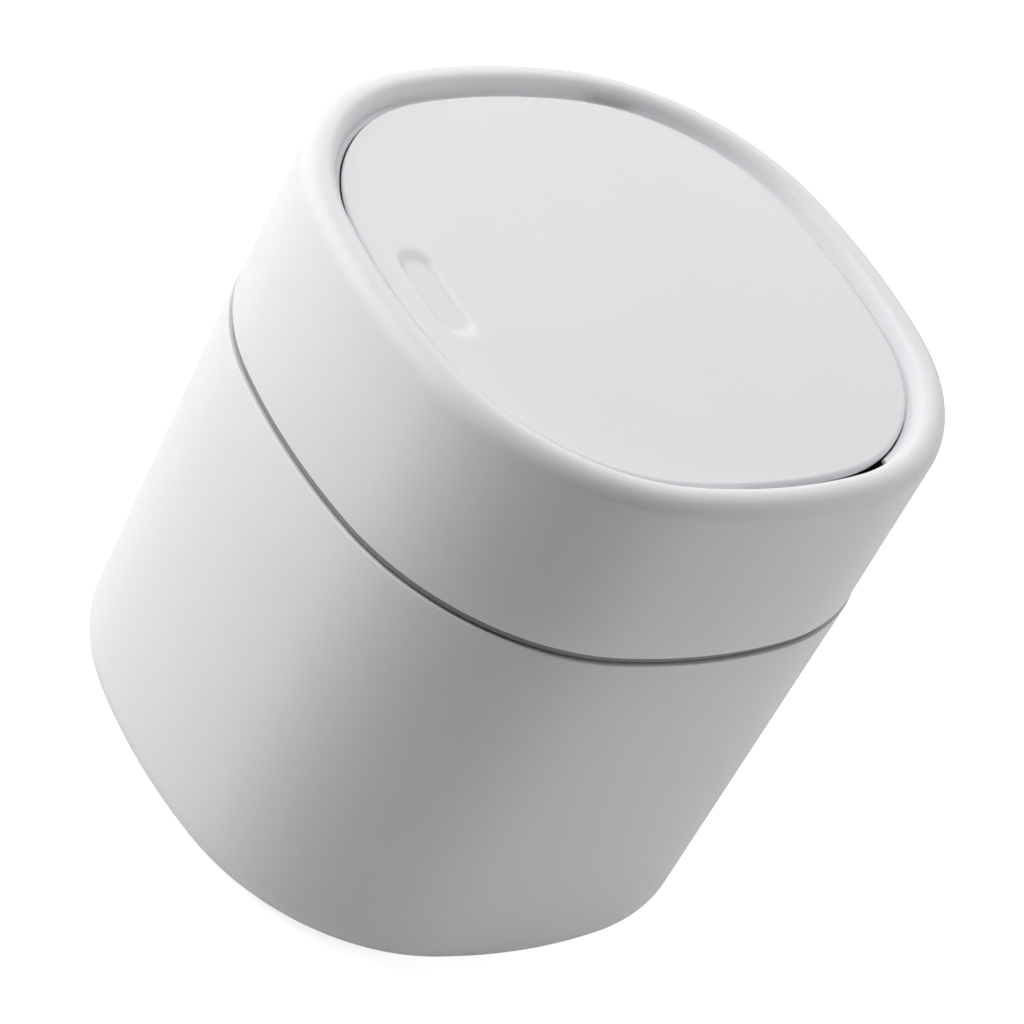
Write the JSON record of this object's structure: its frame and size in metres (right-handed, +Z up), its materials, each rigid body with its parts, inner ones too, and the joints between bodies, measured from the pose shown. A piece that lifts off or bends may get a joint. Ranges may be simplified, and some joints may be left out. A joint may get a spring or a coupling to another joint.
{
  "type": "push top countertop bin",
  "caption": "Small rounded square countertop waste bin with a lift-off lid unit and a sprung flap that opens at a push of its front edge.",
  "frame": {"origin": "middle of the surface the feet stand on, below the middle of the bin", "axes": "+Z up, front with the press dimple towards -Y, hinge towards +Y, +X to the right seen from the front"},
  "size_m": [0.1402, 0.1402, 0.1444],
  "materials": {
    "body_shell": "fine satin",
    "collar_shell": "fine satin",
    "flap_top": "fine satin",
    "carrier": "matt",
    "frame": "matt",
    "latch_case": "matt",
    "latch_slide": "matt",
    "jaw_plastic": "matt",
    "feet": "matt",
    "bumper_rubber": "matt",
    "steel": "drawn wire"
  },
  "bodies": {
    "base": {"bucket": "body_shell", "foot_front_left": "feet", "foot_front_right": "feet", "foot_rear_left": "feet", "foot_rear_right": "feet"},
    "lid_unit": {"collar": "collar_shell", "lid_frame": "frame", "hinge_pin": "steel", "torsion_spring_left": "steel", "torsion_spring_right": "steel", "bumper_left": "bumper_rubber", "bumper_right": "bumper_rubber", "latch_housing": "latch_case", "latch_spring": "steel", "cam_wire": "steel", "latch_screws": "steel"},
    "flap": {"flap_panel": "flap_top", "flap_carrier": "carrier"},
    "latch_slider": {"latch_core": "latch_slide", "latch_jaws": "jaw_plastic"}
  },
  "joints": [
    {"name": "lid_lift", "type": "slide", "parent": "base", "child": "lid_unit", "axis": [0, 0, 1], "range_m": [0, 0.06]},
    {"name": "flap_hinge", "type": "hinge", "parent": "lid_unit", "child": "flap", "pos_m": [0, 0.026, 0.138], "axis": [-1, 0, 0], "range_deg": [-0.8, 80], "deforming": ["torsion_spring_left", "torsion_spring_right"]},
    {"name": "core_slide", "type": "slide", "parent": "lid_unit", "child": "latch_slider", "axis": [0, 0, 1], "range_m": [-0.00004, 0.0035], "deforming": ["latch_spring", "latch_jaws", "cam_wire"]}
  ],
  "couplings": [
    {"joint": "core_slide", "follows": "flap_hinge", "m_per_rad": 0.0025}
  ]
}
